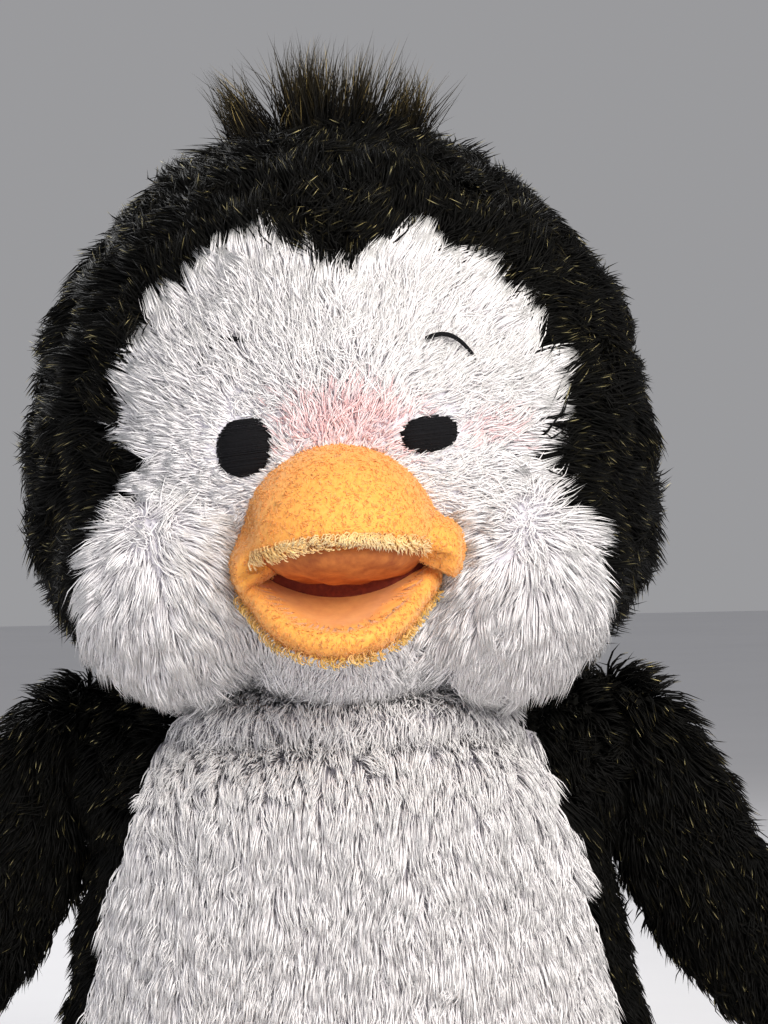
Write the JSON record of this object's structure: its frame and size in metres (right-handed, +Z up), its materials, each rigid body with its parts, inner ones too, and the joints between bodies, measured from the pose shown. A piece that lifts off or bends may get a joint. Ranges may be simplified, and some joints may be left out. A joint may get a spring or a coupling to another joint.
{
  "type": "plush penguin",
  "caption": "Upright stuffed plush penguin with black and white long-pile panels, puffy cheeks, an open velour beak, a hair tuft, soft flippers and feet.",
  "frame": {"origin": "middle of the flat base that the penguin rests on", "axes": "+Z up, -Y the way the penguin faces, +X towards its own left side"},
  "size_m": [0.2518, 0.1942, 0.335],
  "materials": {
    "black_plush": "matte",
    "white_plush": "matte",
    "orange_velour": "matte",
    "mouth_lining": "matte",
    "fibre_filling": "matte",
    "black_thread": "satin",
    "long_hair": "satin",
    "bag_cloth": "matte",
    "pellet_plastic": "matte",
    "seam_thread": "satin",
    "label_ribbon": "satin"
  },
  "bodies": {
    "torso": {"torso_stuffing": "fibre_filling", "pellet_bag": "bag_cloth", "pellets": "pellet_plastic", "belly_panel": "white_plush", "back_panel_left": "black_plush", "back_panel_right": "black_plush", "base_panel": "black_plush", "closing_seam_thread": "seam_thread", "seam_label": "label_ribbon"},
    "neck": {"neck_stuffing": "fibre_filling"},
    "head": {"head_stuffing": "fibre_filling", "head_gusset": "black_plush", "head_side_left": "black_plush", "head_side_right": "black_plush", "face_panel": "white_plush", "cheek_panel_left": "white_plush", "cheek_panel_right": "white_plush", "cheek_stuffing_left": "fibre_filling", "cheek_stuffing_right": "fibre_filling", "hair_tuft": "long_hair", "eye_left": "black_thread", "eye_right": "black_thread", "eyebrow_left": "black_thread", "eyebrow_right": "black_thread", "upper_beak_cover": "orange_velour", "upper_beak_stuffing": "fibre_filling", "palate_lining": "mouth_lining"},
    "lower_beak": {"lower_beak_cover": "orange_velour", "lower_beak_stuffing": "fibre_filling", "lower_beak_lining": "mouth_lining"},
    "flipper_left": {"flipper_front_left": "black_plush", "flipper_back_left": "black_plush", "flipper_stuffing_left": "fibre_filling"},
    "flipper_right": {"flipper_front_right": "black_plush", "flipper_back_right": "black_plush", "flipper_stuffing_right": "fibre_filling"},
    "foot_left": {"foot_top_left": "orange_velour", "foot_sole_left": "orange_velour", "foot_stuffing_left": "fibre_filling"},
    "foot_right": {"foot_top_right": "orange_velour", "foot_sole_right": "orange_velour", "foot_stuffing_right": "fibre_filling"}
  },
  "joints": [
    {"name": "head_turn", "type": "hinge", "parent": "torso", "child": "neck", "pos_m": [0, 0, 0.172], "axis": [0, 0, 1], "range_deg": [-20, 20], "stiffness_Nm_per_rad": 0.5},
    {"name": "head_nod", "type": "hinge", "parent": "neck", "child": "head", "pos_m": [0, 0, 0.172], "axis": [1, 0, 0], "range_deg": [-8, 8], "stiffness_Nm_per_rad": 2.5},
    {"name": "beak_open", "type": "hinge", "parent": "head", "child": "lower_beak", "pos_m": [0, -0.068, 0.193], "axis": [1, 0, 0], "range_deg": [-22, 8], "stiffness_Nm_per_rad": 0.05},
    {"name": "flipper_left_swing", "type": "hinge", "parent": "torso", "child": "flipper_left", "pos_m": [0.0686, 0, 0.127], "axis": [0.1961, 0, -0.9806], "range_deg": [-35, 50], "stiffness_Nm_per_rad": 0.12},
    {"name": "flipper_right_swing", "type": "hinge", "parent": "torso", "child": "flipper_right", "pos_m": [-0.0686, 0, 0.127], "axis": [0.1961, 0, 0.9806], "range_deg": [-35, 50], "stiffness_Nm_per_rad": 0.12},
    {"name": "foot_left_lift", "type": "hinge", "parent": "torso", "child": "foot_left", "pos_m": [0.035, -0.062, 0.006], "axis": [-1, 0, 0], "range_deg": [0, 18], "stiffness_Nm_per_rad": 0.15},
    {"name": "foot_right_lift", "type": "hinge", "parent": "torso", "child": "foot_right", "pos_m": [-0.035, -0.062, 0.006], "axis": [-1, 0, 0], "range_deg": [0, 18], "stiffness_Nm_per_rad": 0.15}
  ]
}
